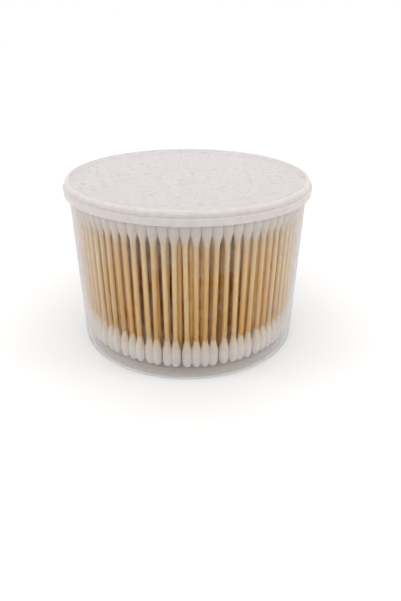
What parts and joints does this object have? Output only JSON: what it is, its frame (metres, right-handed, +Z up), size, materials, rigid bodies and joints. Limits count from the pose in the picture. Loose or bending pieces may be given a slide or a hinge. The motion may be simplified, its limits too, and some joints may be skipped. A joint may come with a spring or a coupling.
{
  "type": "cotton swab tub",
  "caption": "Round frosted plastic tub with a lift-off press-on lid, packed with upright double-ended cotton swabs on bamboo sticks.",
  "frame": {"origin": "middle of the foot ring, on the surface that the tub stands on", "axes": "+Z up along the tub's axis, which the lid lifts along; the picture looks along +Y and down"},
  "size_m": [0.1192, 0.1192, 0.082],
  "materials": {
    "frosted_plastic": "satin",
    "bamboo": "matte",
    "cotton": "matte"
  },
  "bodies": {
    "tub": {"tub": "frosted_plastic", "outer_sticks": "bamboo", "outer_upper_heads": "cotton", "outer_lower_heads": "cotton", "second_ring_sticks": "bamboo", "second_ring_heads": "cotton", "inner_swabs": "cotton"},
    "lid": {"lid": "frosted_plastic"}
  },
  "joints": [
    {"name": "lid_lift", "type": "slide", "parent": "tub", "child": "lid", "axis": [0, 0, 1], "range_m": [0, 0.04]}
  ]
}
